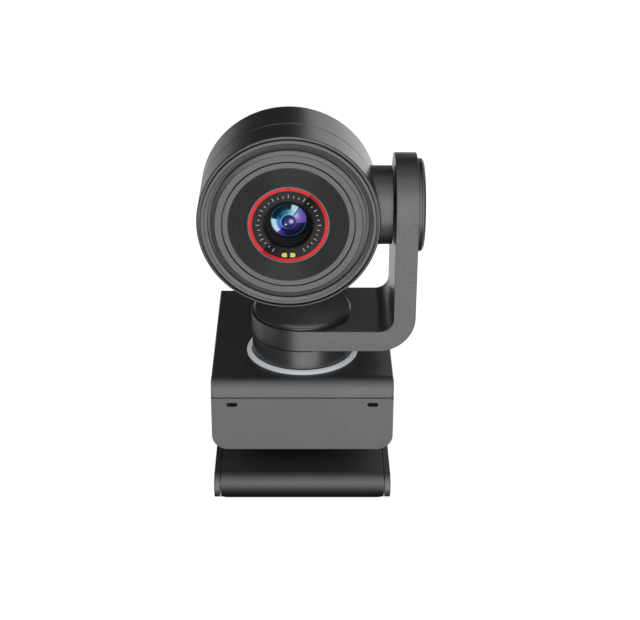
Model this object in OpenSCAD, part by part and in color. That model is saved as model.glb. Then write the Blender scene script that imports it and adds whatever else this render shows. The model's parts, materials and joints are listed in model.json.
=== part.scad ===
// Desktop PTZ camera: a round camera head on an L-shaped arm, on a base with a folding monitor clamp.
// Millimetres. +Z is up and the lens looks along -Y at rest. The pan axis is the Z axis.
// The origin is the mouth of the tripod thread, level with the surface that the camera stands on.

/* [Base] */
// Height of the base's top plate above the surface that the camera stands on
base_top = 38.7; // [36:0.1:42]
// Height of the base's underside, which rests on the top edge of a monitor
base_bottom = 22; // [20:0.1:24]
// Width of the base
base_w = 57; // [54:0.1:60]
// Distance from the pan axis to the base's front face
base_front = 22.7; // [21:0.1:26]
// Distance from the pan axis to the base's rear face
base_rear = 44; // [42:0.5:50]
// Radius of the base's vertical corners and of its side and rear top edges
base_edge_r = 0.7; // [0.5:0.1:2.5]
// Radius of the base's front top edge
front_r = 5; // [3:0.1:5.2]
// Thickness of the plastic walls
wall = 1.8; // [1.4:0.1:2.2]

/* [Front lip] */
// Thickness of the front plate
plate_t = 2.1; // [1.8:0.1:2.4]
// Height of the front plate's lower edge, which hooks over a monitor
lip_bottom = 14.6; // [13:0.1:17]
// Height of the front plate's upper edge
plate_top = 32.95; // [31:0.05:34]
// Radius of the front plate's two lower corners
lip_corner_r = 5; // [3:0.5:8]
// Distance of each microphone slot from the middle
mic_x = 22; // [18:0.5:24]
// Length of a microphone slot
mic_slot_l = 3.4; // [2:0.1:5]
// Height of a microphone slot
mic_slot_h = 1.4; // [1:0.1:2]

/* [Clamp] */
// Thickness of the leg and of the foot that folds into it
leg_top = 9.2; // [8.8:0.1:10]
// Width of the leg across its two side bars
leg_w = 55.5; // [52:0.1:56]
// Thickness of each side bar
bar_t = 1.8; // [1.5:0.1:2]
// Distance of the round nose in front of the pan axis
nose_front = 31.5; // [28:0.1:33]
// Distance of the grip pad's front edge in front of the pan axis
grip_front = 12; // [8:0.5:20]
// Distance of the leg's hinge behind the pan axis
leg_pin_y = 37.5; // [36:0.5:39]
// Height of the leg's hinge
leg_pin_z = 6.2; // [6:0.1:7]
// Radius of both hinge pins
pin_r = 1.5; // [1.2:0.1:1.8]
// Width of the hinge lug under the base
lug_w = 30; // [24:1:34]

/* [Tripod thread] */
// Wall radius of the 1/4-20 thread
thread_r = 2.6; // [2.55:0.05:2.7]
// Depth of the thread
thread_depth = 6.2; // [5:0.1:6.6]

/* [Pan] */
// Radius of the collar under the arm
collar_r = 16; // [15:0.1:16.2]
// Inner radius of the light ring
ring_in_r = 16.35; // [16.3:0.05:16.8]
// Outer radius of the light ring
ring_out_r = 17.85; // [17.5:0.05:19]
// Height of the light ring's inner edge above the base
ring_h = 0.9; // [0.5:0.1:1.2]
// Radius of the hollow pan shaft
pan_shaft_r = 4; // [3.5:0.5:4.5]

/* [Arm] */
// Half of the arm's width from front to back, and the radius of its round ends
arm_r = 16.2; // [16.1:0.05:16.5]
// Height of the arm's underside
arm_z0 = 46.1; // [45:0.05:47]
// Height of the arm's lower limb
arm_z1 = 52.9; // [52:0.1:54]
// Inner face of the arm's upright limb
arm_x0 = 28.15; // [28:0.05:28.6]
// Outer face of the arm's upright limb
arm_x1 = 34.95; // [34:0.05:36]
// Radius of the arm's outer corner
arm_corner_r = 11.4; // [8:0.1:12]
// Radius of the arm's inner corner
arm_fillet_r = 4.3; // [3:0.1:5]
// Radius of the cap over the pan pivot
pan_cap_r = 15.55; // [14:0.05:15.8]
// Radius of the cap over the tilt pivot
tilt_cap_r = 14.4; // [13:0.1:15]

/* [Head] */
// Height of the tilt axis
tilt_z = 88.75; // [88:0.05:90]
// Distance of the head's middle to the left of the pan axis
head_off = 4.15; // [3.5:0.05:4.5]
// Outer radius of the head
head_r = 27.7; // [27:0.05:28]
// Distance from the tilt axis to the rim's front face
rim_front = 15.7; // [15:0.1:16]
// Distance from the tilt axis to the back of the head
head_back = 13.4; // [13:0.1:16]
// Radius of the rounded edge at the back of the head
back_r = 1.6; // [1:0.1:3]
// Distance from the tilt axis forward to the seam between the two shells
seam_front = 3.9; // [2:0.1:5]
// Distance from the tilt axis to the flat middle of the face
face_front = 16.4; // [16:0.1:17]
// Fall of the shallow trough beside the deep groove
trough_fall = 0.3; // [0:0.01:0.4]
// Width of each sensor window below the lens
window_w = 1.6; // [1:0.1:2]
// Height of each sensor window
window_h = 1.4; // [0.8:0.1:1.8]
// Gap between the two sensor windows
window_gap = 1; // [0.4:0.1:1.6]
// Radius of the hub between the head and the arm
hub_r = 12.2; // [11:0.05:12.5]
// Radius of the front lens
lens_r = 5.6; // [5:0.1:6]

/* [Hidden] */
$fn = 96;
eps = 0.01;
run_gap = 0.05;
move_gap = 0.3;

// Colours
shell_grey = [0.16, 0.165, 0.17];
arm_grey = [0.22, 0.225, 0.23];
rubber_black = [0.04, 0.04, 0.045];
board_green = [0.05, 0.22, 0.12];
steel = [0.62, 0.63, 0.65];
brass = [0.72, 0.58, 0.3];

// Base
base_half = base_w / 2;
inner_half = base_half - wall;
base_inner_top = base_top - wall;
plate_front_y = -base_front;
plate_rear_y = plate_front_y + plate_t;
shell_front_y = plate_rear_y + 0.1;
brow_z = plate_top + 0.3;
cavity_front_y = shell_front_y + wall;
cavity_rear_y = base_rear - wall;
cover_t = 1.6;
post_x = inner_half - 3.2;
post_ys = [cavity_front_y + 4.6, cavity_rear_y - 3.2];
post_r = 2.6;
screw_r = 1;
screw_head_r = 1.9;

// USB-C opening in the rear wall
usb_w = 8.94;
usb_h = 3.26;
board_z = base_bottom + 3.2;
usb_z = board_z + 1 + usb_h / 2 - 0.15;
usb_len = 7.3;

// Clamp
leg_half = leg_w / 2;
bar_in = leg_half - bar_t;
foot_half = bar_in - move_gap;
leg_z0 = 0.5;
nose_r = (leg_top - leg_z0) / 2;
nose_y = nose_r - nose_front;
nose_z = leg_z0 + nose_r;
foot_rear_y = 18.5;
bridge_front_y = foot_rear_y + move_gap + 0.1;
bridge_rear_y = leg_pin_y - 6.5;
lug_front_y = leg_pin_y - 9.5;
ledge_y = foot_rear_y - 1.8;
ledge_z = leg_top - 1;
knuckle_r = 5.2;
pad_z0 = leg_top - 0.8;

// Pan pivot
collar_z0 = base_top + ring_h + 0.1;
collar_z1 = arm_z0;
neck_r = 12.5;
neck_hole_r = 13;
arm_floor_z = arm_z0 + 2.5;
pan_pocket_r = 13.6;
channel_z = arm_floor_z + 1.15;
bearing_r = 7;
stator_r = 12.5;
stator_z0 = base_bottom + cover_t;
stator_z1 = base_bottom + 12.6;

// Tilt pivot
tilt_shaft_r = 3;
tilt_pocket_r = 12.6;
tilt_pocket_x = arm_x0 + 2.5;
channel_x = arm_x0 + 1.25;
hub_x0 = 13;
hub_x1 = arm_x0 - 0.55;
rotor_r = 11;
stator_gap = 0.35;

// Face of the head
face_y = -face_front;
rim_groove_r = 26.5;
rim_inner_r = 27.05;
deep_groove_out = 24.2;
deep_groove_in = 23.55;
line_groove_out = 20.15;
line_groove_in = 19.85;
disc_out = 18.2;
trim_out = 12.4;
red_out = 12;
plate_out = 10.95;
plate_in = 7.65;

// ---------- helpers ----------

// A plate with rounded corners, between two opposite corners, from z0 up by h
module rounded_plate(x0, y0, x1, y1, r, z0, h) {
    translate([0, 0, z0]) linear_extrude(h) {
        translate([x0 + r, y0]) square([x1 - x0 - 2 * r, y1 - y0]);
        translate([x0, y0 + r]) square([x1 - x0, y1 - y0 - 2 * r]);
        for (x = [x0 + r, x1 - r], y = [y0 + r, y1 - r]) translate([x, y]) circle(r);
    }
}

// A cylinder or tube along X
module x_cyl(x0, x1, r, y = 0, z = 0) {
    translate([x0, y, z]) rotate([0, 90, 0]) cylinder(r = r, h = x1 - x0);
}
module x_tube(x0, x1, r_out, r_in, y = 0, z = 0) {
    difference() {
        x_cyl(x0, x1, r_out, y, z);
        x_cyl(x0 - 1, x1 + 1, r_in, y, z);
    }
}

// A tube along Z
module z_tube(z0, z1, r_out, r_in) {
    difference() {
        translate([0, 0, z0]) cylinder(r = r_out, h = z1 - z0);
        translate([0, 0, z0 - 1]) cylinder(r = r_in, h = z1 - z0 + 2);
    }
}

// Extrudes an outline in the YZ plane from x0 to x1
module side_extrude(x0, x1) {
    translate([x0, 0, 0]) rotate([90, 0, 90]) linear_extrude(x1 - x0) children();
}

// Moves children to the head's middle, with their +Z pointing forwards out of the lens
module on_head_axis() {
    translate([-head_off, 0, tilt_z]) rotate([90, 0, 0]) children();
}

// A body of revolution about the head's axis; each point is [radius, distance in front of the tilt axis]
module head_turned(points) {
    on_head_axis() rotate_extrude() polygon(points);
}

// A disc or tube about the head's axis, from d0 to d1 in front of the tilt axis
module head_tube(d0, d1, r_out, r_in = 0) {
    on_head_axis() translate([0, 0, d0]) difference() {
        cylinder(r = r_out, h = d1 - d0);
        if (r_in > 0) translate([0, 0, -1]) cylinder(r = r_in, h = d1 - d0 + 2);
    }
}

// Points of a quarter round from angle a0 to a1
function arc(cx, cy, r, a0, a1, n = 6) =
    [for (i = [0:n]) let (a = a0 + (a1 - a0) * i / n) [cx + r * cos(a), cy + r * sin(a)]];

// A pan-head screw along +Z with its head at the bottom
module screw(len, shank = screw_r, head = screw_head_r, head_h = 1.1) {
    difference() {
        union() {
            cylinder(r = head, h = head_h);
            cylinder(r = shank, h = len);
        }
        for (a = [0, 90]) rotate(a) translate([-head * 0.6, -0.2, -eps]) cube([head * 1.2, 0.4, 0.6]);
    }
}

// ---------- base ----------

module base_post_places() {
    for (x = [-post_x, post_x], y = post_ys) translate([x, y, 0]) children();
}

// Side outline of the base in the YZ plane: a large round at the top front edge, over the front plate
module base_side_outline() {
    round_y = plate_front_y + front_r;
    intersection() {
        translate([round_y, base_top - front_r]) circle(front_r);
        translate([plate_front_y, brow_z]) square([front_r, base_top - brow_z]);
    }
    translate([base_rear - base_edge_r, base_top - base_edge_r]) circle(base_edge_r);
    translate([plate_front_y, brow_z]) square([front_r + 1, base_top - front_r - brow_z]);
    translate([shell_front_y, base_bottom]) square([base_rear - shell_front_y, brow_z - base_bottom]);
    translate([round_y, base_bottom]) square([base_rear - round_y, base_top - base_edge_r - base_bottom]);
    translate([round_y, base_bottom]) square([base_rear - base_edge_r - round_y, base_top - base_bottom]);
}

// Front outline of the base in the XZ plane
module base_front_outline() {
    top_x = base_half - base_edge_r;
    for (x = [-top_x, top_x]) translate([x, base_top - base_edge_r]) circle(base_edge_r);
    translate([-base_half, base_bottom]) square([base_w, base_top - base_edge_r - base_bottom]);
    translate([-top_x, base_bottom]) square([2 * top_x, base_top - base_bottom]);
}

module base_shell() color(shell_grey) difference() {
    intersection() {
        side_extrude(-base_half - 1, base_half + 1) base_side_outline();
        translate([0, 60, 0]) rotate([90, 0, 0]) linear_extrude(100) base_front_outline();
        rounded_plate(-base_half, plate_front_y, base_half, base_rear, base_edge_r, base_bottom - 1, 30);
    }
    difference() {
        translate([-inner_half, cavity_front_y, base_bottom - 1])
            cube([2 * inner_half, cavity_rear_y - cavity_front_y, base_inner_top - base_bottom + 1]);
        base_post_places() translate([0, 0, base_bottom + cover_t]) cylinder(r = post_r, h = 40);
    }
    base_post_places() translate([0, 0, base_bottom]) cylinder(r = screw_r, h = 9);
    translate([0, 0, base_bottom]) cylinder(r = neck_hole_r, h = 40);
    difference() {
        translate([0, 0, base_top - 1]) cylinder(r = ring_out_r, h = 2);
        translate([0, 0, base_top - 2]) cylinder(r = ring_in_r, h = 3);
    }
    for (a = [0:45:315]) rotate(a) translate([(ring_in_r + ring_out_r) / 2, 0, base_top - 3])
        cylinder(r = 0.6, h = 4);
    translate([0, base_rear - wall - 1, usb_z]) usb_outline(wall + 2, 0.15);
    for (x = [-mic_x, mic_x]) translate([x, shell_front_y - 1, base_top - 8])
        rotate([-90, 0, 0]) cylinder(r = 0.5, h = wall + 2);
}

// The stadium outline of a USB-C port, extruded along +Y and grown by g all round
module usb_outline(len, g = 0) {
    r = usb_h / 2 + g;
    for (x = [-1, 1]) translate([x * (usb_w - usb_h) / 2, 0, 0]) rotate([-90, 0, 0]) cylinder(r = r, h = len);
    translate([-(usb_w - usb_h) / 2, 0, -r]) cube([usb_w - usb_h, len, 2 * r]);
}

module base_bottom_cover() color(shell_grey) {
    difference() {
        union() {
            translate([-inner_half + 0.1, cavity_front_y + 0.1, base_bottom])
                cube([2 * inner_half - 0.2, cavity_rear_y - cavity_front_y - 0.2, cover_t]);
            hinge_lug();
        }
        base_post_places() translate([0, 0, base_bottom - 1]) {
            cylinder(r = screw_r + 0.15, h = 4);
            cylinder(r = screw_head_r + 0.2, h = 2.1);
        }
        x_cyl(-lug_w, lug_w, pin_r + run_gap, leg_pin_y, leg_pin_z);
        translate([-19, cavity_front_y + 8, base_bottom - 1]) cube([38, 36, 1.4]);
    }
}

// The lug that carries the leg's hinge pin; its front half stands on the folded leg
module hinge_lug() {
    translate([-lug_w / 2, 0, 0]) rotate([90, 0, 90]) linear_extrude(lug_w) {
        translate([leg_pin_y, leg_pin_z]) circle(knuckle_r);
        translate([leg_pin_y, leg_pin_z]) square([knuckle_r, 5]);
        translate([lug_front_y, leg_top + move_gap])
            square([leg_pin_y + knuckle_r - lug_front_y, base_bottom - leg_top - move_gap]);
        translate([lug_front_y, base_bottom - 1]) square([cavity_rear_y - 0.3 - lug_front_y, 1.5]);
    }
}

module base_screws() color(steel)
    base_post_places() translate([0, 0, base_bottom - 0.1]) screw(7);

module mic_slot(x) {
    r = mic_slot_h / 2;
    for (s = [-1, 1]) translate([x + s * (mic_slot_l / 2 - r), plate_front_y - 1, base_top - 8])
        rotate([-90, 0, 0]) cylinder(r = r, h = plate_t + 2, $fn = 48);
    translate([x - mic_slot_l / 2 + r, plate_front_y - 1, base_top - 8 - r])
        cube([mic_slot_l - 2 * r, plate_t + 2, mic_slot_h]);
}

module front_plate() color(arm_grey) difference() {
    translate([0, plate_rear_y, 0]) rotate([90, 0, 0]) linear_extrude(plate_t) {
        translate([-base_half, lip_bottom + lip_corner_r])
            square([base_w, plate_top - lip_bottom - lip_corner_r]);
        translate([-base_half + lip_corner_r, lip_bottom])
            square([base_w - 2 * lip_corner_r, lip_corner_r + 1]);
        for (x = [-1, 1]) translate([x * (base_half - lip_corner_r), lip_bottom + lip_corner_r])
            circle(lip_corner_r);
    }
    mic_slot(-mic_x);
    mic_slot(mic_x);
}

module lip_pad() color(rubber_black)
    translate([0, plate_rear_y, 0]) rotate([-90, 0, 0]) mirror([0, 1, 0])
        rounded_plate(-21, lip_bottom + 1, 21, base_bottom - 0.8, 1.5, 0, 0.8);

module shelf_pad() color(rubber_black)
    rounded_plate(-18.6, cavity_front_y + 8.4, 18.6, cavity_front_y + 43.6, 1.5,
                  base_bottom - 0.2, 0.6);

module light_ring() color([0.75, 0.77, 0.8]) rotate_extrude() polygon(concat(
    [[ring_in_r, base_top - 1], [ring_out_r, base_top - 1], [ring_out_r, base_top]],
    [for (i = [1:6]) let (a = 90 * i / 6)
        [ring_in_r + 0.3 + (ring_out_r - ring_in_r - 0.3) * cos(a), base_top + ring_h * sin(a)]],
    [[ring_in_r, base_top + ring_h]]
));

module ring_led_board() color(board_green) {
    z_tube(base_inner_top - 1.4, base_inner_top - 0.6, ring_out_r + 0.6, ring_in_r - 2);
    for (a = [22.5:45:360]) rotate(a)
        translate([ring_in_r - 0.3, -0.8, base_inner_top - 0.61]) cube([1.6, 1.6, 0.5]);
}

module pan_bearing() color(steel)
    z_tube(stator_z0 + 3, stator_z1 - 1, bearing_r, pan_shaft_r + run_gap);

module pan_motor_stator() color([0.3, 0.3, 0.32]) difference() {
    z_tube(stator_z0, stator_z1, stator_r, bearing_r);
    for (a = [0:30:330]) rotate(a) translate([9, -0.8, stator_z0 + 1.5]) cube([5, 1.6, 12]);
}

module control_board() color(board_green) difference() {
    translate([-23.5, cavity_front_y + 1, board_z])
        cube([47, cavity_rear_y - cavity_front_y - 1.2, 1]);
    cylinder(r = stator_r + 0.6, h = 60);
    base_post_places() cylinder(r = post_r + 0.5, h = 60);
}

module usb_c_receptacle() color(steel) difference() {
    translate([0, base_rear - 0.4 - usb_len, usb_z]) usb_outline(usb_len, -0.15);
    translate([0, base_rear - 0.4 - usb_len + 0.8, usb_z]) usb_outline(usb_len, -0.45);
}

module mic_boards() color(board_green) for (x = [-mic_x, mic_x]) {
    translate([x - 3, cavity_front_y + 0.4, base_top - 10]) cube([6, 0.8, 4.4]);
}

// ---------- clamp ----------

// Side outline of the leg and foot in the YZ plane: a half-round nose about the foot's hinge
module nose_outline(rear_y) {
    translate([nose_y, nose_z]) circle(nose_r);
    translate([nose_y, leg_z0]) square([rear_y - nose_y, leg_top - leg_z0]);
}

module clamp_leg() color(shell_grey) difference() {
    union() {
        for (x = [-leg_half, bar_in]) side_extrude(x, x + bar_t) nose_outline(leg_pin_y);
        for (x = [-leg_half, lug_w / 2 + 0.4]) side_extrude(x, x + leg_half - lug_w / 2 - 0.4) {
            translate([leg_pin_y, leg_pin_z]) circle(knuckle_r);
            translate([bridge_front_y, leg_z0]) square([leg_pin_y - bridge_front_y, leg_top - leg_z0]);
        }
        translate([-leg_half + 1, bridge_front_y, leg_z0])
            cube([leg_w - 2, bridge_rear_y - bridge_front_y, leg_top - leg_z0]);
        translate([-leg_half + 1, ledge_y + move_gap, ledge_z])
            cube([leg_w - 2, bridge_front_y - ledge_y, leg_top - ledge_z]);
    }
    x_cyl(-leg_half - 1, leg_half + 1, pin_r, leg_pin_y, leg_pin_z);
    x_cyl(-leg_half - 1, leg_half + 1, pin_r, nose_y, nose_z);
}

module leg_hinge_pin() color(steel)
    x_cyl(-leg_half + 0.4, leg_half - 0.4, pin_r, leg_pin_y, leg_pin_z);

module foot_hinge_pin() color(steel)
    x_cyl(-leg_half + 0.4, leg_half - 0.4, pin_r, nose_y, nose_z);

module clamp_foot() color(shell_grey) difference() {
    side_extrude(-foot_half, foot_half) nose_outline(foot_rear_y);
    x_cyl(-foot_half - 1, foot_half + 1, pin_r + run_gap, nose_y, nose_z);
    rounded_plate(-foot_half + 1, -grip_front, foot_half - 1, ledge_y - 1, 1.2, pad_z0, 5);
    translate([-foot_half - 1, ledge_y, ledge_z - move_gap]) cube([leg_w, 5, 5]);
    foot_pad_shape(leg_z0 - 1, 1.4);
    translate([0, 0, -1]) cylinder(r = 5.5, h = 2.2);
    translate([0, 0, -1]) cylinder(r = 4, h = thread_depth + 1);
}

module grip_pad() color(rubber_black)
    rounded_plate(-foot_half + 1, -grip_front, foot_half - 1, ledge_y - 1, 1.2,
                  pad_z0, leg_top + 0.2 - pad_z0);

// The two rubber strips under the foot
module foot_pad_shape(z0, h) {
    rounded_plate(-foot_half + 0.5, nose_y - 0.9, foot_half - 0.5, -14, 1, z0, h);
    rounded_plate(-foot_half + 0.5, 7, foot_half - 0.5, foot_rear_y - 1.5, 1, z0, h);
}

module foot_pads() color(rubber_black) foot_pad_shape(0, leg_z0 + 0.4);

module tripod_insert() color(brass) difference() {
    union() {
        cylinder(r = 5.5, h = 1.2);
        cylinder(r = 4, h = thread_depth);
    }
    translate([0, 0, -1]) cylinder(r = thread_r, h = thread_depth + 2);
}

// ---------- pan body ----------

module collar_screw_places() {
    for (a = [30:120:270]) rotate(a) translate([9.4, 0, 0]) children();
}

module pan_collar() color(arm_grey) difference() {
    union() {
        translate([0, 0, collar_z0]) cylinder(r = collar_r, h = collar_z1 - collar_z0 - 0.4);
        translate([0, 0, collar_z1 - 1]) cylinder(r = collar_r - 0.5, h = 1);
        translate([0, 0, base_inner_top + 0.4]) cylinder(r = neck_r, h = collar_z0 - base_inner_top);
    }
    cylinder(r = pan_shaft_r, h = 100);
    difference() {
        translate([0, 0, collar_z0 + 1.8]) cylinder(r = collar_r - 1.8, h = 20);
        cylinder(r = 12.2, h = 100);
    }
    collar_screw_places() translate([0, 0, collar_z1 - 4.5]) cylinder(r = screw_r, h = 10);
}

module pan_shaft() color(steel)
    z_tube(stator_z0 + 2, arm_floor_z + 2.2, pan_shaft_r, 2.4);

module pan_motor_rotor() color([0.35, 0.35, 0.37])
    z_tube(stator_z1 + 0.4, stator_z1 + 1.5, stator_r - 0.5, pan_shaft_r);

module pan_lock_nut() color(steel)
    z_tube(arm_floor_z, arm_floor_z + 1.6, 6.5, pan_shaft_r);

module collar_screws() color(steel)
    collar_screw_places() translate([0, 0, arm_floor_z + 1.1]) mirror([0, 0, 1]) screw(7);

// The L-shaped outline of the arm in the XZ plane
module arm_outline() {
    difference() {
        union() {
            translate([-arm_r, arm_z0]) square([arm_x1 - arm_corner_r + arm_r, arm_z1 - arm_z0]);
            translate([arm_x0, arm_z0 + arm_corner_r])
                square([arm_x1 - arm_x0, tilt_z + arm_r - arm_z0 - arm_corner_r]);
            intersection() {
                translate([arm_x1 - arm_corner_r, arm_z0 + arm_corner_r]) circle(arm_corner_r);
                translate([arm_x1 - arm_corner_r, arm_z0]) square(arm_corner_r);
            }
            translate([arm_x1 - arm_corner_r - 0.1, arm_z1 - 0.1])
                square([0.2 + arm_x0 - arm_x1 + arm_corner_r, arm_corner_r + arm_z0 - arm_z1 + 0.2]);
            translate([arm_x0 - arm_fillet_r, arm_z1 - 0.1]) square([arm_fillet_r + 0.1, arm_fillet_r + 0.1]);
        }
        translate([arm_x0 - arm_fillet_r, arm_z1 + arm_fillet_r]) circle(arm_fillet_r);
        translate([0, arm_z1]) square([arm_x0 - arm_fillet_r, 20]);
        translate([0, arm_z1 + arm_fillet_r]) square([arm_x0, 20]);
    }
}

module arm() color(arm_grey) difference() {
    intersection() {
        translate([0, arm_r, 0]) rotate([90, 0, 0]) linear_extrude(2 * arm_r) arm_outline();
        translate([0, 0, arm_z0 - 1]) linear_extrude(100) {
            circle(arm_r);
            translate([0, -arm_r]) square([60, 2 * arm_r]);
        }
        translate([-30, 0, 0]) rotate([90, 0, 90]) linear_extrude(80) {
            translate([0, tilt_z]) circle(arm_r);
            translate([-arm_r, 0]) square([2 * arm_r, tilt_z]);
        }
    }
    cylinder(r = pan_shaft_r, h = 70);
    translate([0, 0, arm_floor_z]) cylinder(r = pan_pocket_r, h = 10);
    collar_screw_places() cylinder(r = screw_r + 0.15, h = 60);
    x_cyl(0, 60, tilt_shaft_r, 0, tilt_z);
    x_cyl(tilt_pocket_x, 60, tilt_pocket_r, 0, tilt_z);
    translate([10, -5, channel_z]) cube([channel_x + 1.6 - 10, 10, 1.6]);
    translate([channel_x, -5, channel_z]) cube([1.6, 10, tilt_z - channel_z]);
}

// A flat ribbon through the channel inside the arm
module arm_flex_cable() color([0.75, 0.45, 0.1]) {
    translate([9, -4, channel_z + 0.6]) cube([channel_x + 0.9 - 9, 8, 0.3]);
    translate([channel_x + 0.6, -4, channel_z + 0.6]) cube([0.3, 8, tilt_z - 8 - channel_z]);
}

// A round cap with a bevelled edge, a spigot below it and a fine line near the edge of its top
module cap(r, h, bevel, spigot_r, spigot_h) {
    line_r = r - bevel - 0.8;
    rotate_extrude() polygon([
        [0, -spigot_h], [spigot_r, -spigot_h], [spigot_r, 0], [r - 0.5, 0], [r - 0.5, 0.2], [r, 0.2],
        [r, h * 0.42], [r - 0.2, h * 0.42 + 0.1], [r, h * 0.42 + 0.2],
        [r, h - bevel], [r - bevel, h], [line_r + 0.08, h], [line_r, h - 0.1], [line_r - 0.08, h], [0, h]
    ]);
}

module pan_cap() color(shell_grey)
    translate([0, 0, arm_z1]) cap(pan_cap_r, 1.5, 0.65, pan_pocket_r - 0.1, 1.6);

module tilt_cap() color(shell_grey)
    translate([arm_x1, 0, tilt_z]) rotate([0, 90, 0]) cap(tilt_cap_r, 2.15, 0.6, tilt_pocket_r - 0.1, 1.4);

module tilt_shaft() color(steel) x_tube(8, tilt_pocket_x + 1.6, tilt_shaft_r, 1.8, 0, tilt_z);

module tilt_motor_stator() color([0.3, 0.3, 0.32]) difference() {
    x_tube(hub_x0 + 1.6, hub_x0 + 7.6, rotor_r - 2.2 - stator_gap, tilt_shaft_r, 0, tilt_z);
    for (a = [0:40:320]) translate([hub_x0 + 1, 0, tilt_z]) rotate([a, 0, 0])
        translate([0, -0.6, 6]) cube([9, 1.2, 5]);
}

module tilt_lock_nut() color(steel) x_tube(tilt_pocket_x, tilt_pocket_x + 1.4, 5.5, tilt_shaft_r, 0, tilt_z);

// ---------- head body ----------

module hub_hole() x_cyl(5, 60, hub_r + 0.1, 0, tilt_z);

module head_front_shell() color(shell_grey) difference() {
    head_turned(concat(
        [[head_r - wall, seam_front], [head_r - 0.25, seam_front], [head_r, seam_front + 0.25]],
        arc(head_r - 0.45, rim_front - 0.45, 0.45, 0, 90, 5),
        [[rim_inner_r, rim_front], [rim_inner_r, rim_front - 1.5], [25.2, rim_front - 1.5],
         [25.2, rim_front - 2.6], [head_r - wall, rim_front - 2.6]]
    ));
    hub_hole();
}

module head_rear_shell() color(shell_grey) difference() {
    head_turned(concat(
        [[0, -head_back + wall], [head_r - back_r - wall / 2, -head_back + wall],
         [head_r - wall, -head_back + back_r + wall / 2],
         [head_r - wall, seam_front - 0.05], [head_r - 0.25, seam_front - 0.05], [head_r, seam_front - 0.3]],
        arc(head_r - back_r, -head_back + back_r, back_r, 0, -90, 8),
        [[20.6, -head_back], [20.4, -head_back + 0.35], [20.2, -head_back], [0, -head_back]]
    ));
    hub_hole();
    for (i = [-3:3]) translate([-head_off, head_back - 4, tilt_z + i * 3.2]) rotate([-90, 0, 0]) {
        w = 2 * sqrt(15 * 15 - i * i * 3.2 * 3.2) - 2;
        translate([-w / 2, -0.6, 0]) cube([w, 1.2, 8]);
        for (s = [-1, 1]) translate([s * w / 2, 0, 0]) cylinder(r = 0.6, h = 8, $fn = 24);
    }
    head_screw_places() translate([0, 0, -1]) cylinder(r = screw_r, h = 10);
    head_screw_places() translate([0, 0, -1]) cylinder(r = screw_head_r + 0.2, h = 2);
}

// Places of the three screws in the back of the head; +Z points forwards
module head_screw_places() {
    on_head_axis() for (a = [60:120:300]) rotate(a) translate([17.8, 0, -head_back]) children();
}

module head_screws() color(steel)
    head_screw_places() translate([0, 0, 0.05]) screw(6, screw_r, screw_head_r, 0.9);

module tilt_hub() color(shell_grey) {
    difference() {
        x_cyl(hub_x0, hub_x1, hub_r, 0, tilt_z);
        x_cyl(hub_x0 - 1, hub_x1 - 1.8, rotor_r, 0, tilt_z);
        x_cyl(hub_x0, hub_x1 + 1, tilt_shaft_r + 0.6, 0, tilt_z);
    }
    x_tube(hub_x1 - 5.2, hub_x1 - 1.7, 8, 6.5, 0, tilt_z);
}

module tilt_bearing_outer() color(steel)
    x_tube(hub_x1 - 5.1, hub_x1 - 1.8, 6.5, tilt_shaft_r + run_gap, 0, tilt_z);

module tilt_bearing_inner() color(steel)
    x_tube(8.8, 12, 5.5, tilt_shaft_r + run_gap, 0, tilt_z);

module tilt_motor_rotor() color([0.35, 0.35, 0.37])
    x_tube(hub_x0 + 1, hub_x0 + 8.2, rotor_r, rotor_r - 2.2, 0, tilt_z);

module head_chassis() color([0.45, 0.46, 0.48]) difference() {
    union() {
        difference() {
            head_tube(-3.4, -2, 25.2);
            translate([hub_x0 - 1, -10, tilt_z - 14]) cube([30, 20, 28]);
        }
        x_cyl(8, 12, 7.6, 0, tilt_z);
        translate([-head_off, 0, tilt_z]) for (s = [-1, 1])
            translate([-3, -13, s * 20 - 3]) cube([6, 15.4, 6]);
        head_screw_places() translate([0, 0, wall + 0.1]) cylinder(r = 2.6, h = head_back - wall - 2.2);
    }
    x_cyl(7, 13, 5.5, 0, tilt_z);
    head_screw_places() cylinder(r = screw_r, h = 9);
}

// The moulded face: flat rings, and a shallow trough that falls from both sides to a deep groove
module front_bezel() color(shell_grey) difference() {
    head_turned([
        [8.2, rim_front - 1.8], [rim_groove_r, rim_front - 1.45],
        [rim_groove_r, rim_front - 0.2], [rim_groove_r - 0.2, rim_front],
        [25.55, rim_front], [25.48, rim_front - 0.12], [25.41, rim_front],
        [deep_groove_out + 0.15, rim_front - trough_fall], [deep_groove_out, rim_front - trough_fall - 0.15],
        [deep_groove_out, rim_front - 1.1], [deep_groove_in, rim_front - 1.1],
        [deep_groove_in, face_front - trough_fall - 0.15], [deep_groove_in - 0.15, face_front - trough_fall],
        [22.27, face_front - 0.02], [22.2, face_front - 0.14], [22.13, face_front],
        [line_groove_out + 0.1, face_front], [line_groove_out, face_front - 0.1],
        [line_groove_out, face_front - 1.4], [8.2, face_front - 1.4]
    ]);
}

module inner_bezel_ring() color(shell_grey) head_turned([
    [disc_out + 0.05, face_front - 1.4], [line_groove_in, face_front - 1.4],
    [line_groove_in, face_front - 0.1],
    [line_groove_in - 0.1, face_front], [disc_out + 0.1, face_front], [disc_out + 0.05, face_front - 0.05]
]);

module groove_disc() color([0.1, 0.1, 0.11])
    head_tube(face_front - 1.4, face_front - 0.15, disc_out, trim_out + 0.03);

module trim_ring() color([0.45, 0.48, 0.49]) head_turned([
    [red_out, face_front - 1.4], [trim_out, face_front - 1.4], [trim_out, face_front - 0.05],
    [trim_out - 0.1, face_front + 0.05], [red_out, face_front + 0.05]
]);

module red_ring() color([0.8, 0.05, 0.05]) difference() {
    head_tube(face_front - 1.4, face_front - 0.1, red_out - 0.02, plate_out + 0.02);
    on_head_axis() translate([0, red_out, face_front - 1]) cylinder(r = 0.55, h = 3, $fn = 24);
}

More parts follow.
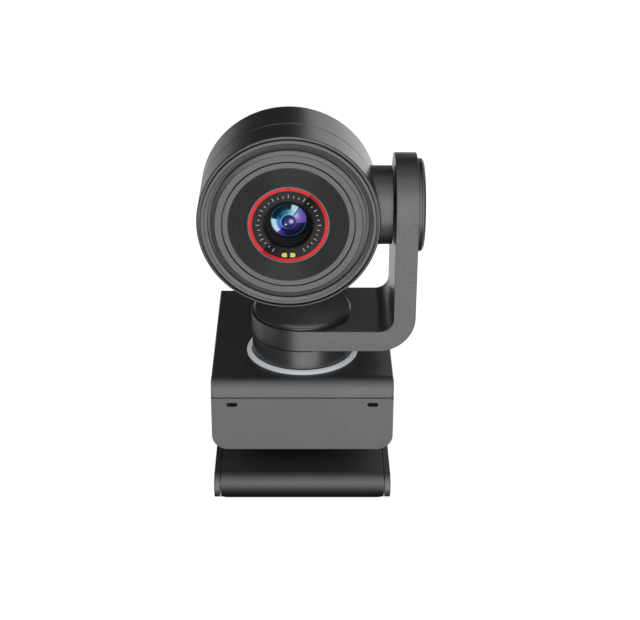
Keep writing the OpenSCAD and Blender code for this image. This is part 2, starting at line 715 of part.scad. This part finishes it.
module lens_plate() color([0.05, 0.05, 0.06]) difference() {
    head_tube(face_front - 1.4, face_front - 0.15, plate_out, plate_in);
    tof_shape(face_front - 1, 3);
}

// Two D-shaped windows side by side below the lens, flat sides facing, from distance d0 forwards by h
module tof_shape(d0, h) {
    straight = window_w - window_h / 2;
    on_head_axis() translate([0, -9.75, d0]) for (s = [-1, 1]) {
        translate([s * (window_gap / 2 + straight), 0, 0]) cylinder(r = window_h / 2, h = h, $fn = 48);
        translate([s > 0 ? window_gap / 2 : -window_gap / 2 - straight, -window_h / 2, 0])
            cube([straight, window_h, h]);
    }
}

module tof_windows() color([0.85, 0.72, 0.2]) tof_shape(face_front - 1, 0.9);

module tof_sensor() color([0.15, 0.15, 0.16])
    on_head_axis() translate([-2.4, -11, 11.6]) cube([4.8, 2.6, 1.4]);

module lens_barrel() color([0.03, 0.03, 0.03]) head_turned([
    [4.6, 3.2], [6, 3.2], [6, 9], [7.55, 9], [7.55, face_front - 0.1], [7.3, face_front - 0.1],
    [7.1, face_front - 0.5], [7.1, face_front - 1.1], [6.75, face_front - 1.25], [6.75, face_front - 1.85],
    [6.2, face_front - 2], [6.2, face_front - 2.6], [5.9, face_front - 2.7], [5.9, face_front - 3],
    [lens_r + 0.02, face_front - 3.1], [lens_r + 0.02, 10], [4.6, 10]
]);

module lens_front_element() color([0.1, 0.12, 0.35]) on_head_axis() intersection() {
    translate([0, 0, 10]) cylinder(r = lens_r, h = 5);
    translate([0, 0, face_front - 2.8 - 11]) sphere(11);
}

module lens_inner_elements() color([0.2, 0.25, 0.4]) {
    for (d = [4, 6.1, 8.2]) on_head_axis() intersection() {
        translate([0, 0, d]) cylinder(r = 4.58, h = 1.6);
        translate([0, 0, d - 9.6]) sphere(11);
    }
}

module lens_holder() color([0.12, 0.12, 0.13]) difference() {
    on_head_axis() translate([-8, -8, 0.3]) cube([16, 16, 5.5]);
    on_head_axis() translate([0, 0, 2]) cylinder(r = 6, h = 10);
    on_head_axis() translate([-4.5, -4.5, 0]) cube([9, 9, 3]);
}

module image_sensor() color([0.3, 0.35, 0.45])
    on_head_axis() translate([-4.2, -4.2, -0.7]) cube([8.4, 8.4, 1.2]);

module sensor_board() color(board_green) on_head_axis() translate([-10, -10, -1.8]) difference() {
    cube([19.5, 20, 1.1]);
    for (x = [1.6, 17.9], y = [1.6, 18.4]) translate([x, y, -1]) cylinder(r = 0.8, h = 4, $fn = 24);
}

module processor_board() color(board_green) difference() {
    head_tube(wall + 0.5 - head_back, wall + 1.5 - head_back, 14.9);
    on_head_axis() translate([9, -20, -20]) cube([20, 40, 20]);
}

module heat_sink() color([0.7, 0.71, 0.73]) on_head_axis() difference() {
    translate([-10.5, -9, wall + 1.55 - head_back]) cube([17, 18, head_back - wall - 5]);
    for (i = [0:4]) translate([-8.4 + i * 3.2, -10, -8.4]) cube([1.6, 20, 6]);
}

base_shell();
base_bottom_cover();
front_plate();
lip_pad();
shelf_pad();
light_ring();
ring_led_board();
pan_bearing();
pan_motor_stator();
control_board();
usb_c_receptacle();
mic_boards();
base_screws();
clamp_leg();
leg_hinge_pin();
foot_hinge_pin();
clamp_foot();
grip_pad();
foot_pads();
tripod_insert();
pan_collar();
pan_shaft();
pan_motor_rotor();
pan_lock_nut();
collar_screws();
arm();
pan_cap();
tilt_shaft();
tilt_motor_stator();
tilt_lock_nut();
tilt_cap();
arm_flex_cable();
head_front_shell();
head_rear_shell();
tilt_hub();
tilt_bearing_outer();
tilt_bearing_inner();
tilt_motor_rotor();
head_chassis();
front_bezel();
inner_bezel_ring();
groove_disc();
trim_ring();
red_ring();
lens_plate();
tof_windows();
tof_sensor();
lens_barrel();
lens_front_element();
lens_inner_elements();
lens_holder();
image_sensor();
sensor_board();
processor_board();
heat_sink();
head_screws();
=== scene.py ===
import json
import math

import bmesh
import bpy
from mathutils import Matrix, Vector


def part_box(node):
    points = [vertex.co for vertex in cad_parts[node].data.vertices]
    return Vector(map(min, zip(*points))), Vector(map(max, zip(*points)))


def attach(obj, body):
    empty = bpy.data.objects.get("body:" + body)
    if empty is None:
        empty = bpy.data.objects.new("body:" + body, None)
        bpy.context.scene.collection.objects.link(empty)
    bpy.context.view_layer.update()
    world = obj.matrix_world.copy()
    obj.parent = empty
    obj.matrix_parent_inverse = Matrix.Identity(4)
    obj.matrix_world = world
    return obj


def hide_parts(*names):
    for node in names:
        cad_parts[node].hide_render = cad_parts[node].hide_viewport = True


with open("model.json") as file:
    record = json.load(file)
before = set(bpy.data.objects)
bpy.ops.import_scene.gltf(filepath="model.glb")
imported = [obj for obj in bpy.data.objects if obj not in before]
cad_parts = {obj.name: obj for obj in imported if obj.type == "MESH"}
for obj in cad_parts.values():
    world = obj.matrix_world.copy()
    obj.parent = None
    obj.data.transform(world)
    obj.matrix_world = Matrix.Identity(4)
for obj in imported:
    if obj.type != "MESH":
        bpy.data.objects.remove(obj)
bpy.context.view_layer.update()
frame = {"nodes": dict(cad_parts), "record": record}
nodes = frame["nodes"]
MM = 0.001
BODY_OF = {n: body for body, members in frame["record"]["behaviour"]["bodies"].items() for n in members}
SLOT_OF = {row["node"]: row["material_slot"] for row in frame["record"]["subparts"]}


def centre(node):
    low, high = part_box(node)
    return (low + high) / 2


def radius_of(node):
    """Radius of a round node, as half its extent along X."""
    low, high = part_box(node)
    return (high.x - low.x) / 2


# ---------------------------------------------------------------- camera and lights

FOCAL_LENGTH = 84.94  # mm
CAMERA_PLACE = (0, -0.4324, 0.2653)
CAMERA_TILT = 63.8  # degrees up from straight down
LIGHT_DISTANCE = 1.1
LIGHT_TARGET = Vector((0, 0, 0.07))
WORLD_STRENGTH = 0.03

camera_data = bpy.data.cameras.new("camera")
camera_data.lens = FOCAL_LENGTH
camera_data.sensor_width = 36
camera_data.shift_x = 0.0276
camera_data.clip_start = 0.01
camera = bpy.data.objects.new("camera", camera_data)
camera.location = CAMERA_PLACE
camera.rotation_euler = (math.radians(CAMERA_TILT), 0, 0)
bpy.context.scene.collection.objects.link(camera)
bpy.context.scene.camera = camera
bpy.context.scene.view_settings.view_transform = "Standard"


def soft_box(name, azimuth, low, high, half_width, radiance):
    """A rectangular light seen from the object between two elevations.

    Angles are in degrees, and the azimuth runs from the front towards +X.
    """
    turn, rise = math.radians(azimuth), math.radians((low + high) / 2)
    direction = Vector((math.sin(turn) * math.cos(rise), -math.cos(turn) * math.cos(rise), math.sin(rise)))
    data = bpy.data.lights.new(name, "AREA")
    data.shape = "RECTANGLE"
    data.size = 2 * LIGHT_DISTANCE * math.tan(math.radians(half_width))
    data.size_y = 2 * LIGHT_DISTANCE * math.tan(math.radians((high - low) / 2))
    data.energy = math.pi * data.size * data.size_y * radiance
    light = bpy.data.objects.new(name, data)
    light.location = LIGHT_TARGET + direction * LIGHT_DISTANCE
    light.rotation_euler = (-direction).to_track_quat("-Z", "Y").to_euler()
    light.visible_camera = False
    bpy.context.scene.collection.objects.link(light)


# Name, azimuth, lowest and highest elevation, half the width, radiance
SOFT_BOXES = (
    ("front_box", 8, -38, 45, 30, 1.4),
    ("front_low_box", 8, -75, -38, 30, 0.3),
    ("front_high_box", 8, 45, 78, 30, 0.8),
    ("left_box", -132, -45, 8, 26, 0.32),
    ("right_box", 148, -45, 30, 26, 0.92),
    ("rear_box", 180, -45, 2, 22, 0.95),
    ("left_side_box", -88, -45, 25, 26, 0.3),
    ("right_side_box", 88, -45, 25, 26, 0.22),
    ("top_box", 0, 78, 112, 20, 0.3),
)
for box in SOFT_BOXES:
    soft_box(*box)

world = bpy.data.worlds.new("world")
world.use_nodes = True
background = world.node_tree.nodes["Background"]
background.inputs["Color"].default_value = (1, 1, 1, 1)
background.inputs["Strength"].default_value = WORLD_STRENGTH
bpy.context.scene.world = world

# ---------------------------------------------------------------- materials

BLACK = (0, 0, 0)
WHITE = (1, 1, 1)
MATTE_ROUGH = 0.34
MATTE_METALLIC = 0.8
ROUGH_SPREAD = 0.05
GRAIN_SIZE = 0.22 * MM
GRAIN_BUMP = 0.35
GRAIN_DEPTH = 0.02 * MM
CLOUD_SIZE = 12 * MM
CLOUD_DEPTH = 0.05


class Look:
    """A procedural material, built from the piece's own coordinates in metres."""

    def __init__(self, name, rough, metallic=0.0, **sockets):
        self.material = bpy.data.materials.new(name)
        self.material.use_nodes = True
        self.tree = self.material.node_tree
        self.shader = self.tree.nodes["Principled BSDF"]
        self.shader.inputs["Metallic"].default_value = metallic
        self.shader.inputs["Roughness"].default_value = rough
        for socket, value in sockets.items():
            self.shader.inputs[socket.replace("_", " ")].default_value = value
        self.place = self.add("ShaderNodeTexCoord").outputs["Object"]
        self.normal = None

    def add(self, kind, **values):
        node = self.tree.nodes.new(kind)
        for key, value in values.items():
            if hasattr(node, key):
                setattr(node, key, value)
            else:
                node.inputs[key.replace("_", " ")].default_value = value
        return node

    def link(self, a, b):
        self.tree.links.new(a, b)

    def noise(self, size, detail=2.0, stretch=None):
        """Noise with features of a size in metres."""
        node = self.add("ShaderNodeTexNoise", Scale=1 / size, Detail=detail)
        source = self.place
        if stretch:
            mapping = self.add("ShaderNodeMapping", Scale=stretch)
            self.link(source, mapping.inputs["Vector"])
            source = mapping.outputs["Vector"]
        self.link(source, node.inputs["Vector"])
        return node.outputs["Fac"]

    def maths(self, operation, a, b=0.0):
        node = self.add("ShaderNodeMath", operation=operation)
        for socket, value in zip(node.inputs, (a, b)):
            if isinstance(value, (int, float)):
                socket.default_value = value
            else:
                self.link(value, socket)
        return node.outputs[0]

    def about(self, middle, radius):
        """Angle and distance about an axis along Y.

        The angle runs from +X towards +Z, as 0..1 starting at -X. The distance is a share of the radius.
        """
        turned = self.add("ShaderNodeMapping", Rotation=(math.radians(-90), 0, 0),
                          Location=(-middle.x, -middle.z, 0))
        self.link(self.place, turned.inputs["Vector"])
        flat = self.add("ShaderNodeMapping", Scale=(1, 1, 0))
        self.link(turned.outputs["Vector"], flat.inputs["Vector"])
        gradient = self.add("ShaderNodeTexGradient", gradient_type="RADIAL")
        self.link(flat.outputs["Vector"], gradient.inputs["Vector"])
        length = self.add("ShaderNodeVectorMath", operation="LENGTH")
        self.link(flat.outputs["Vector"], length.inputs[0])
        return gradient.outputs["Fac"], self.maths("DIVIDE", length.outputs["Value"], radius)

    def mix(self, factor, a, b, blend="MIX"):
        node = self.add("ShaderNodeMix", data_type="RGBA", blend_type=blend)
        for key, value in (("Factor", factor), ("A", a), ("B", b)):
            if isinstance(value, tuple):
                node.inputs[key].default_value = (*value, 1)
            elif isinstance(value, (int, float)):
                node.inputs[key].default_value = value
            else:
                self.link(value, node.inputs[key])
        return node.outputs["Result"]

    def ramp(self, source, stops):
        node = self.add("ShaderNodeValToRGB")
        while len(node.color_ramp.elements) < len(stops):
            node.color_ramp.elements.new(0.5)
        for element, (position, colour) in zip(node.color_ramp.elements, stops):
            element.position = position
            element.color = (*colour, 1)
        self.link(source, node.inputs["Fac"])
        return node.outputs["Color"]

    def colour(self, source):
        self.link(source, self.shader.inputs["Base Color"])
        return self

    def bump(self, source, strength, depth):
        node = self.add("ShaderNodeBump", Strength=strength, Distance=depth)
        self.link(source, node.inputs["Height"])
        if self.normal:
            self.link(self.normal, node.inputs["Normal"])
        self.normal = node.outputs["Normal"]
        self.link(self.normal, self.shader.inputs["Normal"])
        return self

    def rough_from(self, source, low, high):
        node = self.add("ShaderNodeMapRange", To_Min=low, To_Max=high)
        self.link(source, node.inputs["Value"])
        self.link(node.outputs["Result"], self.shader.inputs["Roughness"])
        return self


def grained(name, colour, rough, metallic=0.0, grain=GRAIN_SIZE, mottle=0.22, bump=GRAIN_BUMP,
            depth=GRAIN_DEPTH, **sockets):
    """Moulded or painted surface: a fine grain in colour, roughness and height, with a slow drift of tone."""
    look = Look(name, rough, metallic, **sockets)
    fine = look.noise(grain, 3)
    slow = look.noise(CLOUD_SIZE, 1)
    tones = look.ramp(fine, [(0.3, [c * (1 - mottle) for c in colour]),
                             (0.7, [c * (1 + mottle) for c in colour])])
    clouds = look.ramp(slow, [(0.3, [1 - CLOUD_DEPTH] * 3), (0.7, WHITE)])
    look.colour(look.mix(1.0, tones, clouds, "MULTIPLY"))
    look.rough_from(fine, rough - ROUGH_SPREAD, rough + ROUGH_SPREAD)
    if bump:
        look.bump(fine, bump, depth)
    return look.material


def drawn_metal(name, colour, rough):
    """Machined metal with fine drawn lines along X."""
    look = Look(name, rough, 1.0)
    lines = look.noise(0.00015, 2, stretch=(0.08, 1, 1))
    look.colour(look.ramp(lines, [(0.3, [c * 0.82 for c in colour]), (0.7, colour)]))
    look.rough_from(lines, rough - 0.06, rough + 0.08)
    look.bump(lines, 0.2, 0.00001)
    return look.material


MATERIALS = {
    "matte_shell": grained("matte_shell", (0.15, 0.153, 0.157), MATTE_ROUGH, MATTE_METALLIC),
    "arm_metal": grained("arm_metal", (0.155, 0.158, 0.162), MATTE_ROUGH, MATTE_METALLIC, mottle=0.28),
    "rubber": grained("rubber", (0.012, 0.012, 0.013), 0.75, grain=0.0004, bump=0.6, depth=0.00004),
    "light_guide": grained("light_guide", (0.55, 0.57, 0.59), 0.45, grain=0.0006, mottle=0.05, bump=0.1,
                           Subsurface_Weight=0.3, Subsurface_Radius=(0.001, 0.001, 0.001),
                           Subsurface_Scale=1.0, Emission_Color=(0.85, 0.9, 0.95, 1),
                           Emission_Strength=0.26),
    "circuit_board": grained("circuit_board", (0.008, 0.06, 0.03), 0.4, grain=0.0012, mottle=0.3),
    "steel": drawn_metal("steel", (0.5, 0.5, 0.51), 0.3),
    "motor": drawn_metal("motor", (0.1, 0.1, 0.105), 0.4),
    "brass": drawn_metal("brass", (0.62, 0.43, 0.18), 0.3),
    "flex": grained("flex", (0.4, 0.16, 0.02), 0.35, grain=0.001),
    "groove_disc": grained("groove_disc", (0.05, 0.051, 0.054), 0.34, 0.5, mottle=0.1, bump=0.1),
    "trim_grey": grained("trim_grey", (0.14, 0.165, 0.175), 0.3, 0.7, mottle=0.08, bump=0.1),
    "barrel_black": grained("barrel_black", (0.006, 0.006, 0.0065), 0.38, mottle=0.1, bump=0.1,
                            Specular_IOR_Level=0.15),
    # painted glow: the sensor windows give off a little amber light
    "sensor_window": grained("sensor_window", (0.85, 0.66, 0.1), 0.25, mottle=0.06, bump=0,
                             Emission_Color=(0.9, 0.7, 0.12, 1), Emission_Strength=0.15),
    "aluminium": drawn_metal("aluminium", (0.6, 0.6, 0.61), 0.35),
}


def at(degrees):
    """Where an angle from +X towards +Z, -180 to 180 degrees, falls on an angle ramp."""
    return degrees / 360 + 0.5


def grey(level):
    """A neutral tone, slightly cool."""
    return (level, level * 1.01, level * 1.04)


def coated_glass():
    """Lens glass whose colour, in sectors and arcs under a clear surface, is partly the tint of its
    anti-reflection coating and partly painted reflections of the lights.
    """
    look = Look("coated_glass", 0.12, Specular_IOR_Level=0.1)
    middle_of_glass, glass_radius = centre("lens_front_element"), radius_of("lens_front_element")
    angle, share = look.about(middle_of_glass, glass_radius)
    # painted reflections: these angle ramps give the lights' reflections in the glass as bright and dark
    # sectors, tinted by the coating
    outer = look.ramp(angle, [
        (0, (0.5, 0.78, 0.82)), (at(-134), (0.62, 0.72, 0.85)), (at(-131), (0.12, 0.05, 0.32)),
        (at(-112), (0.045, 0.025, 0.2)), (at(-98), (0.006, 0.012, 0.03)), (at(-9), (0.006, 0.014, 0.03)),
        (at(-7), (0.1, 0.1, 0.42)), (at(20), (0.17, 0.1, 0.45)), (at(42), (0.12, 0.12, 0.5)),
        (at(48), (0.1, 0.42, 0.5)), (at(50), (0.006, 0.01, 0.12)), (at(53), (0.006, 0.01, 0.12)),
        (at(55), (0.55, 0.8, 0.82)), (at(78), (0.42, 0.7, 0.74)), (at(80), (0.002, 0.012, 0.02)),
        (at(170), (0.003, 0.02, 0.035)), (at(174), (0.45, 0.74, 0.8)), (1, (0.5, 0.78, 0.82))])
    middle = look.ramp(angle, [
        (0, (0.06, 0.24, 0.55)), (at(-134), (0.05, 0.1, 0.5)), (at(-130), (0.012, 0.008, 0.1)),
        (at(-70), (0.008, 0.008, 0.04)), (at(-12), (0.03, 0.012, 0.12)), (at(-7), (0.16, 0.08, 0.36)),
        (at(20), (0.28, 0.17, 0.5)), (at(45), (0.5, 0.45, 0.72)), (at(50), (0.006, 0.01, 0.12)),
        (at(53), (0.006, 0.01, 0.12)), (at(56), (0.4, 0.72, 0.78)), (at(78), (0.15, 0.45, 0.62)),
        (at(100), (0.03, 0.16, 0.3)), (at(150), (0.006, 0.045, 0.09)), (1, (0.06, 0.24, 0.55))])
    arc = look.ramp(angle, [(0, (0.12, 0.42, 0.7)), (at(-90), (0.12, 0.05, 0.4)), (at(0), (0.16, 0.05, 0.42)),
                            (at(80), (0.16, 0.5, 0.75)), (1, (0.12, 0.42, 0.7))])
    # every ramp over share below runs from 0 at the axis to 1 at the edge of the glass
    zone = look.ramp(share, [(0.6, BLACK), (0.72, WHITE)])
    colour = look.mix(zone, middle, outer)
    # fine concentric bands in the coating
    band_rate, band_depth, heart_edge = 60, 0.12, 0.38
    waves = look.maths("SINE", look.maths("MULTIPLY", share, band_rate))
    bands = look.maths("ADD", look.maths("MULTIPLY", waves, band_depth), band_depth)
    colour = look.mix(bands, colour, BLACK)
    # painted highlight: a bright line near the rim
    rim = look.ramp(share, [(0.9, BLACK), (0.95, WHITE), (0.985, BLACK)])
    colour = look.mix(rim, colour, (0.03, 0.1, 0.22))
    heart = look.ramp(share, [(heart_edge, WHITE), (0.4, BLACK)])
    depth = look.ramp(share, [(0.1, BLACK), (0.3, WHITE)])
    core = look.mix(depth, (0.02, 0.03, 0.14), (0.004, 0.014, 0.07))
    # soft round highlights, each given by its place and size as shares of the glass radius
    for across, up, size in ((0.15, 0.02, 0.17), (-0.15, -0.16, 0.09)):
        spot = middle_of_glass + Vector((across, 0, up)) * glass_radius
        _, away = look.about(spot, glass_radius)
        glow = look.ramp(away, [(size * 0.3, (0.85, 0.85, 0.85)), (size, BLACK)])
        core = look.mix(glow, core, (0.5, 0.46, 0.72))
    colour = look.mix(heart, colour, core)
    # painted reflection: a bright ring round the dark heart
    ring = look.ramp(share, [(heart_edge, BLACK), (0.41, WHITE), (0.45, BLACK)])
    colour = look.mix(ring, colour, arc)
    # painted shade: the dark edge under the barrel's lip
    edge = look.ramp(share, [(0.955, BLACK), (0.985, WHITE)])
    colour = look.mix(edge, colour, (0.002, 0.004, 0.008))
    look.colour(colour)
    # painted glow: the glass gives off its own colours as light
    look.link(colour, look.shader.inputs["Emission Color"])
    look.shader.inputs["Emission Strength"].default_value = 0.5
    return look.material


def painted_reflection_sectors(name, rough, bright, dark, around, **sockets):
    """A glossy ring with painted reflections: its colour darkens sharply at two opposite angles and recovers
    along the arc, where the lights' reflections fall.
    """
    look = Look(name, rough, **sockets)
    angle, _ = look.about(centre(around), radius_of(around))
    half = [(a + b) / 2 for a, b in zip(bright, dark)]
    # painted reflection: bright and dark sectors of colour by angle
    tone = look.ramp(angle, [
        (0, bright), (at(-134), bright), (at(-132.5), dark), (at(-105), half), (at(-60), bright),
        (at(-5), bright), (at(28), half), (at(56), dark), (at(57.5), bright), (1, bright)])
    fine = look.noise(0.0003, 2)
    speckle = look.ramp(fine, [(0.3, (0.9, 0.9, 0.9)), (0.7, WHITE)])
    look.colour(look.mix(1.0, tone, speckle, "MULTIPLY"))
    look.rough_from(fine, rough - 0.04, rough + 0.04)
    return look.material


def foot_painted_shade():
    """The foot's surface: the matte shell's finish, with painted shade that grows darker towards the bottom of
    the nose.
    """
    look = Look("foot_painted_shade", MATTE_ROUGH, MATTE_METALLIC)
    height = look.add("ShaderNodeSeparateXYZ")
    look.link(look.place, height.inputs[0])
    share = look.maths("DIVIDE", height.outputs["Z"], 10 * MM)
    # painted shade: darker tones lower down the nose
    tone = look.ramp(share, [(0.3, grey(0.032)), (0.48, grey(0.036)), (0.56, grey(0.058)),
                             (0.64, grey(0.095)), (0.74, grey(0.13)), (0.9, grey(0.15))])
    fine = look.noise(GRAIN_SIZE, 3)
    speckle = look.ramp(fine, [(0.3, (0.78, 0.78, 0.78)), (0.7, (1.2, 1.2, 1.2))])
    look.colour(look.mix(1.0, tone, speckle, "MULTIPLY"))
    look.rough_from(fine, MATTE_ROUGH - ROUGH_SPREAD, MATTE_ROUGH + ROUGH_SPREAD)
    look.bump(fine, GRAIN_BUMP, GRAIN_DEPTH)
    return look.material


MATERIALS["coated_glass"] = coated_glass()
# painted reflections: the lens plate and the red ring take bright and dark sectors of colour by angle
MATERIALS["black_gloss"] = painted_reflection_sectors("black_gloss", 0.25, grey(0.045), grey(0.003), "lens_plate",
                                    Specular_IOR_Level=0.08)
# painted glow: the red ring gives off red light, though it is no lamp
MATERIALS["red_accent"] = painted_reflection_sectors("red_accent", 0.3, (0.9, 0.045, 0.045), (0.42, 0.002, 0.002),
                                   "red_ring", Specular_IOR_Level=0.1,
                                   Emission_Color=(0.8, 0.02, 0.02, 1), Emission_Strength=0.18)


for name in nodes:
    slots = nodes[name].data.materials
    slots.clear()
    slots.append(MATERIALS[SLOT_OF[name]])

# ---------------------------------------------------------------- mesh helpers

CREASE_ANGLE = 32  # degrees between faces above which an edge shades as a crease
BEVEL_ANGLE = 30  # degrees between faces above which an outward edge is rounded
FLAT_ANGLE = 0.6  # degrees between faces that count as one flat face
JOIN_DISTANCE = 0.000002
TURN_STEPS = 256
TURN_CREASE_ANGLE = 24


def weigh_normals(mesh, sharp):
    """Lets large flat faces keep their own shading beside narrow rounded edges."""
    around = [[] for _ in mesh.vertices]
    for face in mesh.polygons:
        for vertex in face.vertices:
            around[vertex].append(face.index)
    limit = math.cos(sharp)
    normals = [None] * len(mesh.loops)
    for face in mesh.polygons:
        for loop in face.loop_indices:
            total = Vector((0, 0, 0))
            for other in around[mesh.loops[loop].vertex_index]:
                near = mesh.polygons[other]
                if near.normal.dot(face.normal) >= limit:
                    total += near.normal * near.area
            normals[loop] = total.normalized() if total.length > 0 else face.normal
    mesh.normals_split_custom_set(normals)


def finish_piece(name, bm, node, material=None, sharp=CREASE_ANGLE):
    """Turns a bmesh into a smooth-shaded piece that stands for a CAD node."""
    bmesh.ops.recalc_face_normals(bm, faces=bm.faces)
    mesh = bpy.data.meshes.new(name)
    bm.to_mesh(mesh)
    bm.free()
    mesh.shade_smooth()
    mesh.set_sharp_from_angle(angle=math.radians(sharp))
    weigh_normals(mesh, math.radians(sharp))
    piece = bpy.data.objects.new(name, mesh)
    bpy.context.scene.collection.objects.link(piece)
    mesh.materials.append(material or MATERIALS[SLOT_OF[node]])
    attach(piece, BODY_OF[node])
    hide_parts(node)


def node_bmesh(node):
    """A clean working copy of a CAD node: joined vertices and flat faces in one piece each."""
    bm = bmesh.new()
    bm.from_mesh(nodes[node].data)
    bmesh.ops.remove_doubles(bm, verts=bm.verts, dist=JOIN_DISTANCE)
    bmesh.ops.dissolve_limit(bm, angle_limit=math.radians(FLAT_ANGLE), verts=bm.verts, edges=bm.edges)
    return bm


def bevel(bm, width, pick=None, segments=3):
    """Rounds the sharp outward edges, or only those of them that pick chooses."""
    edges = [e for e in bm.edges
             if len(e.link_faces) == 2 and e.calc_face_angle_signed(0) > math.radians(BEVEL_ANGLE)
             and (pick is None or pick(e))]
    bmesh.ops.bevel(bm, geom=edges, offset=width, offset_type="OFFSET", segments=segments, profile=0.5,
                    affect="EDGES", clamp_overlap=True, miter_outer="ARC")


def softened(node, width, material=None):
    """Replaces a CAD node by a copy with rounded edges."""
    bm = node_bmesh(node)
    bevel(bm, width)
    finish_piece(node + "_soft", bm, node, material)


softened("arm", 0.45 * MM)
softened("front_plate", 0.3 * MM)
softened("base_shell", 0.15 * MM)
# the foot takes painted shade down its nose
softened("clamp_foot", 0.25 * MM, material=foot_painted_shade())
softened("tilt_hub", 0.3 * MM)

# The leg is rounded only along the outer edges of its two sides
leg_rounding, side_margin = 0.9 * MM, 0.02 * MM
leg = node_bmesh("clamp_leg")
leg_low, leg_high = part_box("clamp_leg")
leg_side = (leg_high.x - leg_low.x) / 2 - side_margin
bevel(leg, leg_rounding, lambda e: all(abs(v.co.x) > leg_side for v in e.verts), segments=6)
finish_piece("clamp_leg_soft", leg, "clamp_leg")


def turned(name, node, profile):
    """Revolves a closed profile of (radius, y) about the lens axis, in place of a CAD node."""
    bm = bmesh.new()
    middle = centre("front_bezel")
    rings = []
    for k in range(TURN_STEPS):
        angle = 2 * math.pi * k / TURN_STEPS
        rings.append([bm.verts.new((middle.x + radius * math.cos(angle), y, middle.z + radius * math.sin(angle)))
                      for radius, y in profile])
    count = len(profile)
    for k in range(TURN_STEPS):
        here, there = rings[k], rings[(k + 1) % TURN_STEPS]
        for i in range(count):
            j = (i + 1) % count
            bm.faces.new((here[i], here[j], there[j], there[i]))
    finish_piece(name, bm, node, sharp=TURN_CREASE_ANGLE)


def cut_groove_disc():
    """The disc round the lens plate, with fine concentric V grooves cut into its face."""
    grooves = 11
    bore_gap, edge_land, depth = 0.03 * MM, 0.1 * MM, 0.16 * MM
    groove_share = 0.72  # of the pitch, and the rest is flat
    low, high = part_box("groove_disc")
    inner, outer = radius_of("trim_ring") + bore_gap, radius_of("groove_disc")
    pitch = (outer - inner - 2 * edge_land) / grooves
    profile = [(outer, high.y), (inner, high.y), (inner, low.y)]
    for k in range(grooves):
        start = inner + edge_land + k * pitch
        profile += [(start, low.y), (start + pitch * groove_share / 2, low.y + depth),
                    (start + pitch * groove_share, low.y)]
    profile.append((outer, low.y))
    turned("groove_disc_cut", "groove_disc", profile)


def print_plate_ticks():
    """A plain scale of evenly spaced ticks on the lens plate, open below where the sensor windows are."""
    first, last, step, long_every = -60, 240, 10, 30  # degrees from +X towards +Z
    inner_radius, long_tick, short_tick = 8.75 * MM, 1.1 * MM, 0.7 * MM
    half_line, half_thickness = 0.12, 0.02 * MM
    face_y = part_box("lens_plate")[0].y
    middle = centre("front_bezel")
    bm = bmesh.new()
    for degrees in range(first, last + 1, step):
        angle = math.radians(degrees)
        length = long_tick if degrees % long_every == 0 else short_tick
        out = Vector((math.cos(angle), 0, math.sin(angle)))
        side = Vector((-out.z, 0, out.x)) * half_line * MM
        start = middle + out * inner_radius
        corners = [start - side, start + side, start + side + out * length, start - side + out * length]
        front = [bm.verts.new((c.x, face_y - half_thickness, c.z)) for c in corners]
        back = [bm.verts.new((c.x, face_y + half_thickness, c.z)) for c in corners]
        bm.faces.new(front)
        bm.faces.new(back[::-1])
        for i in range(4):
            bm.faces.new((front[i], back[i], back[(i + 1) % 4], front[(i + 1) % 4]))
    bmesh.ops.recalc_face_normals(bm, faces=bm.faces)
    mesh = bpy.data.meshes.new("plate_ticks")
    bm.to_mesh(mesh)
    bm.free()
    ticks = bpy.data.objects.new("plate_ticks", mesh)
    bpy.context.scene.collection.objects.link(ticks)
    mesh.materials.append(grained("printed_white", (0.6, 0.61, 0.62), 0.5, mottle=0.08, bump=0.05))
    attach(ticks, BODY_OF["lens_plate"])


cut_groove_disc()
print_plate_ticks()

# ---------------------------------------------------------------- floor


def build_floor():
    """A glowing white floor that curves up into a round wall, and that reflections and shadows leave out."""
    flat_radius, bend_radius, wall_top, sides = 2.2, 0.8, 4.0, 96
    below_part = 0.02 * MM
    glow = 0.93
    outline = [(flat_radius, 0.0)]
    for degrees in range(10, 91, 10):
        bend = math.radians(degrees)
        outline.append((flat_radius + bend_radius * math.sin(bend), bend_radius - bend_radius * math.cos(bend)))
    outline.append((flat_radius + bend_radius, wall_top))
    bm = bmesh.new()
    rows = []
    for radius, z in outline:
        angles = [2 * math.pi * k / sides for k in range(sides)]
        rows.append([bm.verts.new((radius * math.cos(a), radius * math.sin(a), z)) for a in angles])
    bm.faces.new(rows[0])
    for lower, upper in zip(rows, rows[1:]):
        for k in range(sides):
            bm.faces.new((lower[k], lower[(k + 1) % sides], upper[(k + 1) % sides], upper[k]))
    mesh = bpy.data.meshes.new("floor")
    bm.to_mesh(mesh)
    bm.free()
    floor = bpy.data.objects.new("floor", mesh)
    floor.location.z = -below_part
    bpy.context.scene.collection.objects.link(floor)
    material = bpy.data.materials.new("floor")
    material.use_nodes = True
    shader = material.node_tree.nodes["Principled BSDF"]
    shader.inputs["Base Color"].default_value = (0.8, 0.8, 0.8, 1)
    shader.inputs["Roughness"].default_value = 0.9
    shader.inputs["Emission Color"].default_value = (1, 1, 1, 1)
    shader.inputs["Emission Strength"].default_value = glow
    mesh.materials.append(material)
    floor.visible_glossy = False
    floor.visible_diffuse = False
    floor.visible_shadow = False


build_floor()
